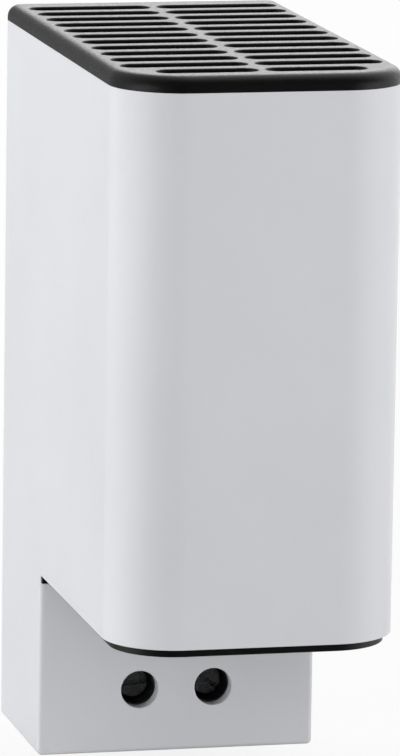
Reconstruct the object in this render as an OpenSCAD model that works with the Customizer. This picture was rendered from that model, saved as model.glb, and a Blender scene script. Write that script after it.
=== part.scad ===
// Enclosure heater for a 35 mm mounting rail: a finned heating element in a moulded housing,
// with air slots at the top and bottom and two screw terminals in the set-back base.
// Frame: origin at the centre of the rail seat, +X right, +Y back into the rail, +Z up. Millimetres.

/* [Housing] */
// Width over the side walls
body_w = 38; // [34:0.5:50]
// Depth from the front face to the back face
body_d = 73; // [68:0.5:90]
// Height of the shell between its lower and upper edges
shell_h = 71.4; // [66:0.2:100]
// Height of the base under the shell
base_h = 25; // [24:0.2:34]
// Depth of the base from its front face to the back face
base_d = 26.2; // [25.4:0.2:32]
// Wall thickness
wall = 2; // [1.6:0.1:2.4]
// Radius of the front upright corners
front_r = 9; // [5:0.5:12]
// Radius of the rear upright corners
back_r = 2; // [1.9:0.1:4]
// Radius of the base's front upright corners
base_r = 0.7; // [0.5:0.1:2]
// Radius of the cavity's rear corners
cavity_r = 0.6; // [0.3:0.1:1]

/* [Base cover] */
// Height of the cover's outer edge
cover_t = 1.1; // [1:0.1:2]
// Roundover of the cover's bottom edge
cover_round = 0.8; // [0.3:0.1:0.8]
// Height of the cover's plug inside the base
plug_t = 1.2; // [1:0.1:2]
// Diameter of the wire entries
entry_d = 3.6; // [3:0.1:4.2]

/* [Grilles] */
// Height of the top grille's rim over the shell
cap_h = 2.1; // [1.9:0.1:3.5]
// Roundover of the top grille's rim
cap_round = 1.6; // [0.6:0.1:1.8]
// Width of an air slot
slot_w = 3.3; // [2:0.1:4]
// Spacing of the slot rows
slot_pitch = 5.54; // [4.8:0.01:8]
// Front face to the centre of the first slot row
slot_first = 5.4; // [5.2:0.02:9]
// Least plate left behind the last slot row
slot_rear = 3; // [2:0.5:6]
// Side face to the outer ends of the slots
slot_margin = 2; // [2:0.1:5]
// Side face to the outer ends of the front row, clear of the round corners
corner_margin = 5.4; // [4.6:0.1:9]
// Chamfer along the upper edges of the top grille's slots
slot_edge = 0.3; // [0.1:0.05:0.4]
// Web between the two slot columns
slot_web = 1.14; // [0.8:0.02:4]
// Depth of the web's stiffening rib under the top grille
web_rib_h = 3; // [1:0.5:5]
// Height of the skirts that plug into the shell
skirt_h = 4.4; // [3:0.2:8]
// Thickness of the skirts
skirt_t = 1.3; // [1:0.1:1.8]
// Gap between a plug and the wall round it
fit_gap = 0.15; // [0.1:0.05:0.3]
// Radius of the snap beads
bead_r = 0.45; // [0.3:0.05:0.6]
// Length of the snap beads
bead_len = 14; // [6:1:18]
// Drop of the bottom grille's flange under the shell
flange_h = 1.1; // [0.6:0.1:2]
// Set-back of the flange from the shell's outer faces
flange_inset = 1; // [0.4:0.1:1.4]
// Depth of the bar that closes the flange against the base
ear_d = 0.8; // [0.5:0.1:2]
// Thickness of the bottom grille's plate inside the shell
floor_t = 1.2; // [0.8:0.1:2]

/* [Heating element] */
// Width over the heat sink's fins
sink_w = 29; // [20:0.5:30]
// Depth of the heat sink
sink_d = 57; // [40:0.5:60]
// Height of the heat sink
sink_h = 44; // [30:1:46]
// Height of the heat sink over the shell's lower edge
sink_rise = 17; // [15:0.5:19]
// Fin spacing
fin_pitch = 5.5; // [3.5:0.1:8]
// Fin thickness
fin_t = 1.2; // [0.8:0.1:2]
// Thickness of the heat sink's spine
spine_t = 3; // [2:0.1:4]
// Wall round the heat sink's element channel
core_wall = 2; // [1.2:0.1:3]
// Heating stone, across the pack
stone_t = 2.2; // [1.5:0.1:3]
// Heating stone, along the spine
stone_w = 24; // [16:0.5:26]
// Heating stone, height
stone_h = 18; // [10:0.5:19]
// Gap between the two stones
stone_gap = 0.4; // [0.2:0.1:0.5]
// Thickness of an electrode plate
electrode_t = 0.8; // [0.4:0.1:1]
// Rim of an electrode plate past the stones
electrode_rim = 1; // [0.5:0.1:2]
// Insulating film thickness
film_t = 0.3; // [0.2:0.05:0.5]
// Length of film past each end of the heat sink
film_over = 1.5; // [0.5:0.1:3]
// Gap at each layer of the pack
pack_gap = 0.05; // [0.02:0.01:0.08]
// Width of the connection tabs
tab_w = 4.8; // [4:0.1:6.3]
// Length of the tabs under the heat sink
tab_h = 4; // [3:0.1:5]
// Distance of a tab from the middle of the pack
tab_offset = 7; // [4:0.5:9]

/* [Leads] */
// Diameter over the insulation
lead_d = 2.2; // [1.6:0.1:2.6]
// Wall of the crimp barrels
crimp_wall = 0.5; // [0.3:0.1:0.8]
// Length of the crimp barrels
crimp_h = 4; // [3:0.1:5]
// Closed end of the crimp barrels
crimp_end = 1; // [0.6:0.1:1.5]
// Gap round a lead in its barrel
crimp_gap = 0.08; // [0.05:0.01:0.15]
// Reach of the lead's curve at each end
lead_reach = 9; // [6:0.5:11]

/* [Terminals] */
// Spacing of the two terminals
terminal_pitch = 10.15; // [9.4:0.05:14]
// Height of the screw axes over the base's bottom
terminal_z = 8.6; // [7.4:0.1:14]
// Diameter of the screwdriver holes
driver_d = 5.1; // [4.8:0.1:6.5]
// Chamfer round the mouths of the screwdriver holes
driver_edge = 0.2; // [0.1:0.1:0.8]
// Screw heads behind the base's front face
head_depth = 4.3; // [2.6:0.1:5]
// Screw head diameter
head_d = 4.3; // [4:0.1:4.6]
// Screw head height
head_t = 1.6; // [1.2:0.1:2]
// Screw thread diameter
screw_d = 3; // [2.5:0.1:3.5]
// Width of the screw slot
kerf_w = 0.7; // [0.5:0.1:1]
// Depth of the screw slot
kerf_h = 0.9; // [0.5:0.1:1]
// Turn of the live screw's slot from level
live_turn = -5; // [-90:1:90]
// Turn of the neutral screw's slot from level
neutral_turn = 34; // [-90:1:90]
// Running gap round a screw
screw_gap = 0.06; // [0.03:0.01:0.1]
// Play round a moving clamp cage
cage_gap = 0.2; // [0.1:0.05:0.3]
// Shoulder under the screw heads
shoulder_t = 1.2; // [0.8:0.1:2]
// Clamp cage width
cage_w = 7; // [6.6:0.1:8]
// Clamp cage height
cage_h = 6.4; // [5:0.1:7]
// Thickness of the cage's threaded end
nut_t = 2.2; // [1.6:0.1:3]
// Thickness of the cage's other walls
cage_wall = 1; // [0.8:0.1:1.2]
// Travel of the cages
cage_travel = 3; // [2:0.1:3.2]
// Opening between the current bar and the open cage
wire_gap = 3.4; // [3.3:0.1:4]
// Width of the current bars
bar_w = 4.4; // [3:0.1:4.5]
// Thickness of the current bars
bar_t = 0.8; // [0.6:0.1:1.2]
// Rise of the current bars over the block
bar_rise = 4; // [3:0.1:6]
// Flare of the wire funnels under the clamps
funnel = 0.8; // [0.4:0.1:1.2]
// Terminal block width
block_w = 24; // [22:0.5:32]
// Terminal block height
block_h = 13; // [12:0.1:14]

/* [Rail seat and latch] */
// Rail width
rail_w = 35; // [32:0.5:38]
// Rail thickness that the lips take
rail_t = 1; // [1:0.1:2]
// Clearance at the rail's edges and behind its flange
rail_gap = 0.15; // [0.1:0.05:0.4]
// Height of the rail's centre line over the base's bottom
rail_z = 44; // [43:0.5:56]
// Seat width
seat_w = 28; // [20:0.5:32]
// Seat height
seat_h = 30; // [20:0.5:31]
// Height of the seat over the back face
seat_t = 0.5; // [0.3:0.1:1.5]
// Width of the fixed hook
hook_w = 26; // [14:0.5:32]
// Thickness of the hook and the latch nose
hook_t = 2.6; // [2:0.1:4]
// Reach of the lips over the rail's flange
lip_h = 1.5; // [1:0.1:1.6]
// Thickness of the lips
lip_t = 1.3; // [1:0.1:2]
// Lead-in chamfer of the lips
lip_lead = 0.6; // [0.2:0.1:0.9]
// Width of the latch under its guides
latch_w = 14; // [12:0.5:16]
// Thickness of the latch under its guides
latch_t = 1.5; // [1:0.1:2]
// Thickness of the guides
guide_t = 1; // [0.8:0.1:1.4]
// Overlap of the guides on the latch
guide_lap = 1.6; // [1:0.1:2]
// Play round the latch
latch_gap = 0.15; // [0.1:0.05:0.3]
// Wall between the latch channel and the terminals
channel_wall = 1.5; // [1.2:0.1:2]
// Travel of the latch
latch_travel = 3; // [2:0.1:3.5]
// Length of the latch's eye under the base
eye_h = 4; // [3.6:0.1:6]
// Width of the slot in the eye
eye_w = 5; // [3:0.1:7]
// Height of the slot in the eye
eye_slot = 1.6; // [1:0.1:2]
// Latch material left above the spring window
window_top = 4.5; // [4:0.1:6]
// Room left between the spring's turns when the latch is fully down
spring_slack = 5; // [2:0.5:6]
// Height of the spring's peg
peg_h = 2; // [1.5:0.1:3]
// Outer diameter of the spring
spring_d = 2.2; // [1.8:0.1:2.2]
// Wire diameter of the spring
spring_wire = 0.4; // [0.3:0.05:0.5]
// Turns of the spring
spring_turns = 8; // [6:1:10]
// Gap at each end of the spring
spring_gap = 0.03; // [0.01:0.01:0.1]

/* [Supports] */
// Thickness of the ribs that carry the heat sink
rib_t = 2.4; // [1.6:0.1:3]
// Play between the ribs and the heat sink
rib_gap = 0.2; // [0.1:0.05:0.4]
// Reach of the ledges under the heat sink
ledge = 1.5; // [1:0.1:2]
// Thickness of a ledge's lip
ledge_h = 1.5; // [1:0.1:3]
// Rib length left off below the heat sink's top
rib_drop = 4; // [2:0.5:10]
// Height of the hold-down feet
foot_h = 2; // [1:0.1:3]

/* [Hidden] */
$fn = 48;

// Overlap that joins a rib or boss to the wall it grows from, and overshoot of a cut
join = 0.4;
cut = 1;

// Sides of a swept round, and its rings: a lead's curve and one turn of the spring
tube_sides = 8;
lead_rings = 14;
spring_sides = 6;
spring_rings = 12;

// Faces of the housing
y_back = -seat_t;
y_front = y_back - body_d;
y_base = y_back - base_d;
z_bottom = -rail_z;
z_lip = z_bottom + base_h;
z_rim = z_lip + shell_h;
inner_w = body_w - 2 * wall;
y_inner_front = y_front + wall;
y_inner_back = y_back - wall;
opening_d = body_d - base_d;

// Roundovers, kept within the corner and the plate that they round
round_share = 0.9;
cap_edge = min(cap_round, round_share * back_r, round_share * cap_h);
cover_edge = min(cover_round, round_share * base_r, round_share * cover_t);

// Slot rows of the two grilles
top_rows = floor((body_d - slot_first - slot_w / 2 - slot_rear) / slot_pitch) + 1;
floor_rows = floor((opening_d - slot_first - slot_w / 2 - slot_rear) / slot_pitch) + 1;

// Layers of the element pack, from the middle outwards
electrode_x = stone_t / 2;
film_x = electrode_x + electrode_t + pack_gap;
channel_x = film_x + film_t + pack_gap;
electrode_w = stone_w + 2 * electrode_rim;
film_y = electrode_w / 2 + pack_gap;
channel_y = film_y + film_t + pack_gap;
electrode_h = 2 * stone_h + stone_gap + 2 * electrode_rim;
sink_y = (y_inner_front + y_inner_back) / 2;
sink_z = z_lip + sink_rise;
pack_z = sink_z + sink_h / 2;
fin_side = floor((sink_d - fin_t) / 2 / fin_pitch);
rib_fin = fin_side - 2;

// Terminals, from the base's front face backwards
terminal_x = terminal_pitch / 2;
axis_z = z_bottom + terminal_z;
head_y = y_base + head_depth;
shoulder_y = head_y + head_t + cage_gap;
pocket_y = shoulder_y + shoulder_t;
cage_y = pocket_y + cage_gap + cage_travel;
bar_y = cage_y + nut_t + cage_gap;
entry_y = bar_y + bar_t + wire_gap / 2;
cage_len = nut_t + cage_gap + bar_t + wire_gap + cage_wall;
pocket_z = axis_z - cage_h / 2 - cage_gap;
pocket_h = cage_h + 2 * cage_gap;
block_z = z_bottom + cover_t + plug_t;
block_top = block_z + block_h;
bar_top = block_top + bar_rise;

// Crimp barrels and the leads between them
barrel_r = lead_d / 2 + crimp_gap + crimp_wall;
electrode_barrel_z = sink_z - tab_h - crimp_h;
lead_x = electrode_x + electrode_t / 2;

// Latch, its channel and its spring, in the locked place
channel_d = guide_t + latch_t + 2 * latch_gap;
channel_w = latch_w + 2 * latch_gap;
mouth_w = channel_w - 2 * guide_lap;
stem_w = mouth_w - 2 * latch_gap;
channel_front = y_back - channel_d - channel_wall;
lip_in = rail_t + rail_gap;
lip_out = lip_in + lip_t;
rail_edge = rail_w / 2 + rail_gap;
channel_top = -rail_edge + latch_gap;
window_z1 = -rail_edge - window_top;
spring_solid = (spring_turns + 1) * spring_wire;
window_h = latch_gap + peg_h + 2 * spring_gap + spring_solid + spring_slack + latch_travel;
window_z0 = window_z1 - window_h;
peg_z = window_z0 + latch_gap;
spring_y = y_back - channel_d / 2;
window_w = spring_d + 4 * latch_gap;

// Outline of a housing section: front edge on y = 0, one radius at the front corners, one at the rear
module plan(w, d, front, rear) {
    translate([-w / 2 + front, 0])
        square([w - 2 * front, front]);
    translate([-w / 2, front])
        square([w, d - front - rear]);
    translate([-w / 2 + rear, d - rear])
        square([w - 2 * rear, rear]);
    for (side = [-1, 1]) {
        translate([side * (w / 2 - front), front])
            circle(front);
        translate([side * (w / 2 - rear), d - rear])
            circle(rear);
    }
}

// The same outline as a plate whose upper edge is rounded over all the way round
module rounded_plate(w, d, front, rear, h, r) {
    linear_extrude(h - r)
        plan(w, d, front, rear);
    translate([0, r, h - r])
        linear_extrude(r)
            plan(w - 2 * r, d - 2 * r, front - r, rear - r);
    translate([-w / 2 + front, r, h - r])
        rotate([90, 0, 90])
            edge_round(w - 2 * front, r);
    translate([w / 2 - rear, d - r, h - r])
        rotate([90, 0, -90])
            edge_round(w - 2 * rear, r);
    translate([-w / 2 + r, d - rear, h - r])
        rotate([90, 0, 0])
            edge_round(d - front - rear, r);
    translate([w / 2 - r, front, h - r])
        rotate([90, 0, 180])
            edge_round(d - front - rear, r);
    for (side = [0, 1]) mirror([side, 0, 0]) {
        translate([w / 2 - front, front, h - r])
            rotate(-90)
                corner_round(front, r);
        translate([w / 2 - rear, d - rear, h - r])
            corner_round(rear, r);
    }
}

// Quarter round along a straight edge, its outer side towards -x
module edge_round(len, r) {
    linear_extrude(len)
        mirror([1, 0])
            quarter(r);
}

// Quarter round about an upright corner of the given radius
module corner_round(corner, r) {
    rotate_extrude(angle = 90)
        translate([corner - r, 0])
            quarter(r);
}

module quarter(r) {
    intersection() {
        circle(r);
        square(r);
    }
}

// Pairs that sit on both terminal axes
module each_terminal() {
    for (side = [-1, 1])
        translate([side * terminal_x, 0, 0])
            children();
}

// Snap beads along both side walls, or with a gap the grooves that take them
module beads(x, y, z, gap) {
    for (side = [-1, 1])
        translate([side * x, y, z])
            rotate([90, 0, 0])
                cylinder(h = bead_len + 2 * gap, r = bead_r + gap, center = true);
}

// Round-ended slots in two columns, cut down from z, with an edge to chamfer there if one is given
module slots(rows, z, h, edge) {
    for (row = [0 : rows - 1]) {
        len = body_w / 2 - (row == 0 ? corner_margin : slot_margin) - slot_web / 2;
        for (side = [0, 1])
            mirror([side, 0, 0])
                translate([slot_web / 2, y_front + slot_first + row * slot_pitch, z]) {
                    translate([0, 0, -h])
                        linear_extrude(h + cut)
                            stadium(len, slot_w);
                    if (edge > 0)
                        flare(len, slot_w, edge);
                }
    }
}

// Slot outline from its inner end, along x
module stadium(len, w) {
    translate([w / 2, -w / 2])
        square([len - w, w]);
    for (x = [w / 2, len - w / 2])
        translate([x, 0])
            circle(w / 2);
}

// Chamfer round the mouth of a slot in a face at z = 0
module flare(len, w, edge) {
    for (x = [w / 2, len - w / 2])
        translate([x, 0, -edge])
            cylinder(h = 2 * edge, r1 = w / 2, r2 = w / 2 + 2 * edge);
    translate([w / 2, 0, 0])
        rotate([90, 0, 90])
            linear_extrude(len - w)
                polygon([[-w / 2, -edge], [w / 2, -edge], [w / 2 + 2 * edge, edge], [-w / 2 - 2 * edge, edge]]);
}

// Rib that stands on a wall at x = 0 and carries and guides the heat sink, which is towards -x
module guide_rib(reach) {
    rotate([90, 0, 0])
        translate([0, 0, -rib_t / 2])
            linear_extrude(rib_t)
                polygon([
                    [join, -ledge_h - reach - ledge], [-reach - ledge, -ledge_h], [-reach - ledge, 0],
                    [-reach + rib_gap, 0], [-reach + rib_gap, sink_h - rib_drop], [join, sink_h - rib_drop]
                ]);
}

// Lip that closes over an edge of the rail, in the YZ plane: the rail is towards -z of z = 0
module lip_profile(y_root) {
    polygon([
        [y_root, 0], [lip_in, 0], [lip_in, -lip_h], [lip_out - lip_lead, -lip_h],
        [lip_out, -lip_h + lip_lead], [lip_out, hook_t / 2], [lip_out - hook_t / 2, hook_t], [y_root, hook_t]
    ]);
}

// Shell, base, rail hook and seat in one moulding
module housing() {
    color([0.78, 0.78, 0.8]) {
        difference() {
            union() {
                difference() {
                    housing_outside();
                    housing_inside();
                }
                channel_boss();
                sink_ribs();
                rail_hook();
            }
            latch_channel();
            driver_holes();
            beads(inner_w / 2 - fit_gap, sink_y, z_rim - skirt_h / 2, fit_gap);
            beads(inner_w / 2 - fit_gap, y_front + opening_d / 2, z_lip + skirt_h / 2 + floor_t / 2, fit_gap);
        }
        spring_peg();
    }
}

module housing_outside() {
    translate([0, y_front, z_lip])
        linear_extrude(shell_h)
            plan(body_w, body_d, front_r, back_r);
    translate([0, y_base, z_bottom + cover_t])
        linear_extrude(base_h - cover_t)
            plan(body_w, base_d, base_r, back_r);
}

// One cavity through the shell, down to the bottom grille's seat on the base, and one in the base
module housing_inside() {
    translate([0, y_inner_front, z_lip - flange_h])
        linear_extrude(shell_h + flange_h + cut)
            plan(inner_w, body_d - 2 * wall, front_r - wall, cavity_r);
    translate([0, y_base + wall, z_bottom + cover_t - cut])
        linear_extrude(base_h - cover_t + cut)
            plan(inner_w, base_d - 2 * wall, cavity_r, cavity_r);
}

// Thicker back wall round the latch channel
module channel_boss() {
    boss_w = channel_w + 2 * channel_wall;
    translate([-boss_w / 2, channel_front, z_bottom + cover_t])
        cube([boss_w, y_inner_back + join - channel_front, channel_top + channel_wall - z_bottom - cover_t]);
}

module sink_ribs() {
    for (row = [-rib_fin, rib_fin]) {
        translate([inner_w / 2, sink_y + row * fin_pitch, sink_z])
            guide_rib((inner_w - sink_w) / 2);
        translate([-inner_w / 2, sink_y + row * fin_pitch, sink_z])
            rotate(180)
                guide_rib((inner_w - sink_w) / 2);
    }
    translate([0, y_inner_back, sink_z])
        rotate(90)
            guide_rib(y_inner_back - sink_y - sink_d / 2);
    translate([0, y_inner_front, sink_z])
        rotate(-90)
            guide_rib(sink_y - sink_d / 2 - y_inner_front);
}

// Fixed hook over the rail's upper edge, and the raised seat that the rail lies on
module rail_hook() {
    translate([-hook_w / 2, 0, rail_edge])
        rotate([90, 0, 90])
            linear_extrude(hook_w)
                lip_profile(y_back - join);
    translate([-seat_w / 2, y_back - join, -seat_h / 2])
        cube([seat_w, seat_t + join, seat_h]);
}

// Undercut channel that guides the latch, open at the bottom
module latch_channel() {
    channel_h = channel_top - z_bottom + cut;
    translate([-channel_w / 2, y_back - channel_d, z_bottom - cut])
        cube([channel_w, channel_d - guide_t, channel_h]);
    translate([-mouth_w / 2, y_back - channel_d, z_bottom - cut])
        cube([mouth_w, channel_d + cut, channel_h]);
}

module driver_holes() {
    each_terminal()
        translate([0, y_base, axis_z])
            rotate([90, 0, 0]) {
                translate([0, 0, -wall - cut])
                    cylinder(h = wall + 2 * cut, d = driver_d);
                translate([0, 0, -driver_edge])
                    cylinder(h = 2 * driver_edge, d1 = driver_d, d2 = driver_d + 4 * driver_edge);
            }
}

// Peg in the latch's window that the spring stands on
module spring_peg() {
    translate([-spring_d / 2, y_back - channel_d - join, peg_z])
        cube([spring_d, channel_d + join - latch_gap, peg_h]);
}

// Floor of the base with the two wire entries
module base_cover() {
    color([0.78, 0.78, 0.8])
        difference() {
            union() {
                translate([0, y_base, z_bottom + cover_t])
                    mirror([0, 0, 1])
                        rounded_plate(body_w, base_d, base_r, back_r, cover_t, cover_edge);
                translate([0, y_base + wall + fit_gap, z_bottom + cover_t])
                    linear_extrude(plug_t)
                        plan(inner_w - 2 * fit_gap, base_d - 2 * wall - 2 * fit_gap, cavity_r, cavity_r);
            }
            cover_notch();
            each_terminal()
                translate([0, entry_y, z_bottom - cut])
                    cylinder(h = cover_t + plug_t + 2 * cut, d = entry_d);
        }
}

// Room in the cover for the latch, and in its plug for the channel's boss
module cover_notch() {
    boss_w = channel_w + 2 * channel_wall + 2 * fit_gap;
    translate([-channel_w / 2, y_back - channel_d, z_bottom - cut])
        cube([channel_w, channel_d + cut, cover_t + plug_t + 2 * cut]);
    translate([-boss_w / 2, channel_front - fit_gap, z_bottom + cover_t])
        cube([boss_w, y_back - channel_front, plug_t + cut]);
}

// Slotted lid with a skirt inside the shell and feet that hold the heat sink down
module top_grille() {
    skirt_w = inner_w - 2 * fit_gap;
    skirt_d = body_d - 2 * wall - 2 * fit_gap;
    skirt_r = front_r - wall - fit_gap;
    color([0.07, 0.07, 0.075]) {
        difference() {
            union() {
                translate([0, y_front, z_rim])
                    rounded_plate(body_w, body_d, front_r, back_r, cap_h, cap_edge);
                translate([0, y_inner_front + fit_gap, z_rim - skirt_h])
                    difference() {
                        linear_extrude(skirt_h)
                            plan(skirt_w, skirt_d, skirt_r, cavity_r);
                        translate([0, skirt_t, -cut])
                            linear_extrude(skirt_h + cut)
                                plan(skirt_w - 2 * skirt_t, skirt_d - 2 * skirt_t, skirt_r - skirt_t, cavity_r);
                    }
                translate([-slot_web / 2, y_inner_front + fit_gap + skirt_t / 2, z_rim - web_rib_h])
                    cube([slot_web, skirt_d - skirt_t, web_rib_h]);
                beads(skirt_w / 2, sink_y, z_rim - skirt_h / 2, 0);
            }
            slots(top_rows, z_rim + cap_h, cap_h + join, slot_edge);
        }
        for (row = [-rib_fin, rib_fin], side = [0, 1])
            mirror([side, 0, 0])
                translate([0, sink_y + row * fin_pitch, 0])
                    hold_down(skirt_w / 2);
    }
}

// Leg from the skirt to a foot over the ends of the heat sink's fins
module hold_down(x_out) {
    x_in = x_out - skirt_t;
    x_foot = sink_w / 2 - ledge;
    z_foot = sink_z + sink_h + rib_gap;
    z_knee = z_foot + foot_h;
    rotate([90, 0, 0])
        translate([0, 0, -rib_t / 2])
            linear_extrude(rib_t)
                polygon([
                    [x_out, z_foot], [x_out, z_rim - 2 * join], [x_in, z_rim - 2 * join],
                    [x_in, z_knee + x_in - x_foot],
                    [x_foot, z_knee], [x_foot, z_foot]
                ]);
}

// Slotted floor of the shell: flange under its edge, plug and skirt inside, tongue on the base's wall
module bottom_grille() {
    plug_w = inner_w - 2 * fit_gap;
    plug_r = front_r - wall - fit_gap;
    plug_y = y_inner_front + fit_gap;
    plug_d = y_base + wall - fit_gap - plug_y;
    ear_w = body_w - 2 * fit_gap;
    color([0.07, 0.07, 0.075])
        difference() {
            union() {
                translate([0, y_front + flange_inset, z_lip - flange_h])
                    linear_extrude(flange_h)
                        plan(body_w - 2 * flange_inset, opening_d - flange_inset - fit_gap,
                            front_r - flange_inset, cavity_r);
                translate([-ear_w / 2, y_base - fit_gap - ear_d, z_lip - flange_h])
                    cube([ear_w, ear_d, flange_h]);
                translate([0, plug_y, z_lip - flange_h])
                    linear_extrude(flange_h + floor_t)
                        plan(plug_w, plug_d, plug_r, cavity_r);
                translate([0, plug_y, z_lip])
                    difference() {
                        linear_extrude(skirt_h)
                            plan(plug_w, opening_d / 2 + bead_len, plug_r, cavity_r);
                        translate([0, skirt_t, -cut])
                            linear_extrude(skirt_h + 2 * cut)
                                plan(plug_w - 2 * skirt_t, opening_d, plug_r - skirt_t, cavity_r);
                    }
                beads(plug_w / 2, y_front + opening_d / 2, z_lip + skirt_h / 2 + floor_t / 2, 0);
            }
            slots(floor_rows, z_lip + floor_t, floor_t + flange_h + cut, 0);
        }
}

// Extruded profile: spine, hollow core for the element and a row of fins on each side
module heat_sink() {
    color([0.72, 0.74, 0.76])
        translate([0, sink_y, sink_z])
            linear_extrude(sink_h)
                difference() {
                    union() {
                        square([spine_t, sink_d], center = true);
                        square(2 * [channel_x + core_wall, channel_y + core_wall], center = true);
                        for (row = [-fin_side : fin_side])
                            translate([-sink_w / 2, row * fin_pitch])
                                stadium(sink_w, fin_t);
                    }
                    square(2 * [channel_x, channel_y], center = true);
                }
}

module ptc_stones() {
    color([0.45, 0.43, 0.4])
        for (level = [-1, 1])
            translate([0, sink_y, pack_z + level * (stone_h + stone_gap) / 2])
                cube([stone_t, stone_w, stone_h], center = true);
}

// Plate on one side of the stones, with a tab that ends in a crimp barrel
module electrode(side) {
    plate_z = pack_z - electrode_h / 2;
    tab_z = electrode_barrel_z + crimp_h - crimp_end / 2;
    color([0.8, 0.81, 0.82])
        translate([side * lead_x, sink_y, 0]) {
            translate([-electrode_t / 2, -electrode_w / 2, plate_z])
                cube([electrode_t, electrode_w, electrode_h]);
            translate([-electrode_t / 2, side * tab_offset - tab_w / 2, tab_z])
                cube([electrode_t, tab_w, plate_z - tab_z + join]);
            translate([0, side * tab_offset, electrode_barrel_z])
                crimp_barrel();
        }
}

module live_electrode() {
    electrode(-1);
}

module neutral_electrode() {
    electrode(1);
}

// Barrel that is open at the bottom for a lead
module crimp_barrel() {
    difference() {
        cylinder(h = crimp_h, r = barrel_r);
        translate([0, 0, -cut])
            cylinder(h = crimp_h - crimp_end + cut, r = barrel_r - crimp_wall);
    }
}

// Insulating tube round the pack
module film_sleeve() {
    color([0.78, 0.5, 0.12])
        translate([0, sink_y, sink_z - film_over])
            linear_extrude(sink_h + 2 * film_over)
                difference() {
                    square(2 * [film_x + film_t, film_y + film_t], center = true);
                    square(2 * [film_x, film_y], center = true);
                }
}

// Lead from an electrode's barrel, back and down to a current bar's barrel
function bezier(a, b, c, d, t) =
    a * pow(1 - t, 3) + 3 * b * t * pow(1 - t, 2) + 3 * c * t * t * (1 - t) + d * pow(t, 3);
function unit(v) = v / norm(v);
function lead_route(side) =
    let (
        depth = crimp_h - crimp_end - crimp_gap,
        start = [side * lead_x, sink_y + side * tab_offset, electrode_barrel_z],
        finish = [side * terminal_x, bar_y + bar_t / 2, bar_top + crimp_h],
        up = [0, 0, 1]
    ) concat(
        [start + depth * up],
        [for (i = [0 : lead_rings]) bezier(
            start, start - lead_reach * up, finish + lead_reach * up, finish, i / lead_rings)],
        [finish - depth * up]
    );

// Closed tube along a route: one ring of points square to the route at each of its points
module tube(route, r, sides) {
    last = len(route) - 1;
    rings = [
        for (i = [0 : last])
            let (
                along = unit(route[min(i + 1, last)] - route[max(i - 1, 0)]),
                across = unit(cross(along, abs(along.x) > 0.9 ? [0, 1, 0] : [1, 0, 0])),
                other = cross(along, across)
            )
            [for (k = [0 : sides - 1])
                route[i] + r * (cos(360 * k / sides) * across + sin(360 * k / sides) * other)]
    ];
    sides_faces = [
        for (i = [0 : last - 1], k = [0 : sides - 1])
            let (next = (k + 1) % sides)
            [(i + 1) * sides + k, (i + 1) * sides + next, i * sides + next, i * sides + k]
    ];
    start_face = [for (k = [0 : sides - 1]) k];
    end_face = [for (k = [sides - 1 : -1 : 0]) last * sides + k];
    polyhedron([for (ring = rings) each ring], concat(sides_faces, [start_face, end_face]));
}

module live_lead() {
    color([0.35, 0.18, 0.1])
        tube(lead_route(-1), lead_d / 2, tube_sides);
}

module neutral_lead() {
    color([0.12, 0.25, 0.55])
        tube(lead_route(1), lead_d / 2, tube_sides);
}

// Insulating block with a stepped bore for each screw and a pocket for each clamp cage
module terminal_block() {
    block_y = y_base + wall + fit_gap;
    block_back = channel_front - fit_gap;
    color([0.09, 0.09, 0.095])
        difference() {
            translate([-block_w / 2, block_y, block_z])
                cube([block_w, block_back - block_y, block_h]);
            each_terminal() {
                translate([0, shoulder_y, axis_z])
                    rotate([90, 0, 0])
                        cylinder(h = shoulder_y - block_y + cut, d = head_d + 2 * cage_gap);
                translate([0, pocket_y + cut, axis_z])
                    rotate([90, 0, 0])
                        cylinder(h = shoulder_t + 2 * cut, d = screw_d + 2 * screw_gap);
                translate([-cage_w / 2 - cage_gap, pocket_y, pocket_z])
                    cube([cage_w + 2 * cage_gap, block_back - pocket_y + cut, pocket_h]);
                translate([-bar_w / 2 - fit_gap, bar_y - fit_gap, pocket_z + pocket_h / 2])
                    cube([bar_w + 2 * fit_gap, bar_t + 2 * fit_gap, block_h]);
                translate([0, entry_y, block_z - join])
                    cylinder(h = pocket_z - block_z + 2 * join, d1 = entry_d + 2 * funnel, d2 = entry_d - funnel);
            }
        }
}

// Current bar that stands in the block, clamped against the wire and crimped to the lead
module current_bar(side) {
    color([0.78, 0.6, 0.3])
        translate([side * terminal_x, bar_y, 0]) {
            translate([-bar_w / 2, 0, pocket_z])
                cube([bar_w, bar_t, bar_top + crimp_end / 2 - pocket_z]);
            translate([0, bar_t / 2, bar_top + crimp_h])
                mirror([0, 0, 1])
                    crimp_barrel();
        }
}

module live_bar() {
    current_bar(-1);
}

module neutral_bar() {
    current_bar(1);
}

// Rising cage: threaded end in front, open top and bottom, wire behind the bar
module clamp_cage(side) {
    color([0.75, 0.77, 0.8])
        translate([side * terminal_x, cage_y, axis_z])
            difference() {
                translate([-cage_w / 2, 0, -cage_h / 2])
                    cube([cage_w, cage_len, cage_h]);
                translate([-cage_w / 2 + cage_wall, nut_t, -cage_h / 2 - cut])
                    cube([cage_w - 2 * cage_wall, cage_len - nut_t - cage_wall, cage_h + 2 * cut]);
                translate([0, nut_t + cut, 0])
                    rotate([90, 0, 0])
                        cylinder(h = nut_t + 2 * cut, d = screw_d + 2 * screw_gap);
            }
}

module live_cage() {
    clamp_cage(-1);
}

module neutral_cage() {
    clamp_cage(1);
}

// Slotted screw whose tip bears on the current bar
module terminal_screw(side, turn) {
    shank = bar_y - screw_gap - head_y;
    color([0.72, 0.73, 0.75])
        translate([side * terminal_x, head_y, axis_z])
            rotate([-90, 0, 0])
                difference() {
                    union() {
                        cylinder(h = head_t, d = head_d);
                        cylinder(h = shank, d = screw_d);
                    }
                    rotate(turn)
                        translate([-head_d / 2 - cut, -kerf_w / 2, -cut])
                            cube([head_d + 2 * cut, kerf_w, kerf_h + cut]);
                }
}

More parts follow.
